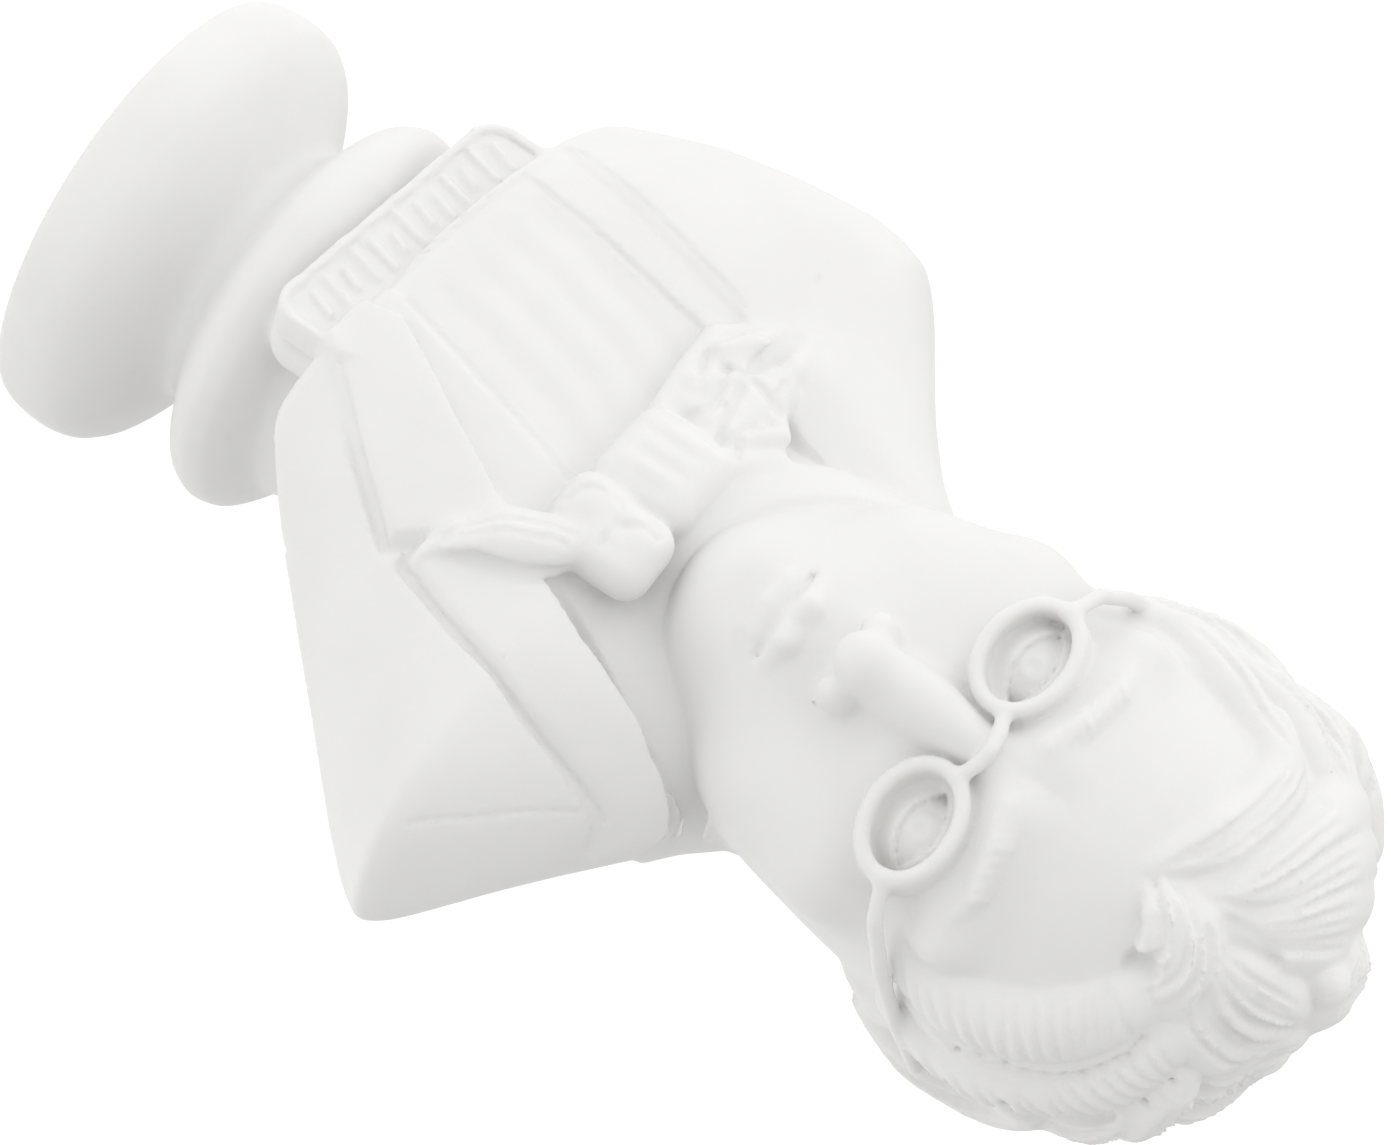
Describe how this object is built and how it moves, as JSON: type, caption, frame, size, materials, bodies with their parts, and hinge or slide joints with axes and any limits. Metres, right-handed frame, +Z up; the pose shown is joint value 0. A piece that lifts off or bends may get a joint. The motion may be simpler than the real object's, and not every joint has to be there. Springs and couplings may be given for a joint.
{
  "type": "classical bust",
  "caption": "Small cast portrait bust of a man in spectacles, coat and bow cravat, on a turned round socle with a name tablet left blank; stands on its own foot",
  "frame": {"origin": "middle of the round foot's underside, where the bust stands", "axes": "+Z up, -Y the front that the tablet faces, +X the sitter's left"},
  "size_m": [0.0803, 0.0501, 0.1202],
  "materials": {
    "white_casting": "matt white cast resin, soft as plaster, with a fine mould seam and a few pits"
  },
  "bodies": {
    "root": {"bust": "white_casting"}
  },
  "joints": []
}
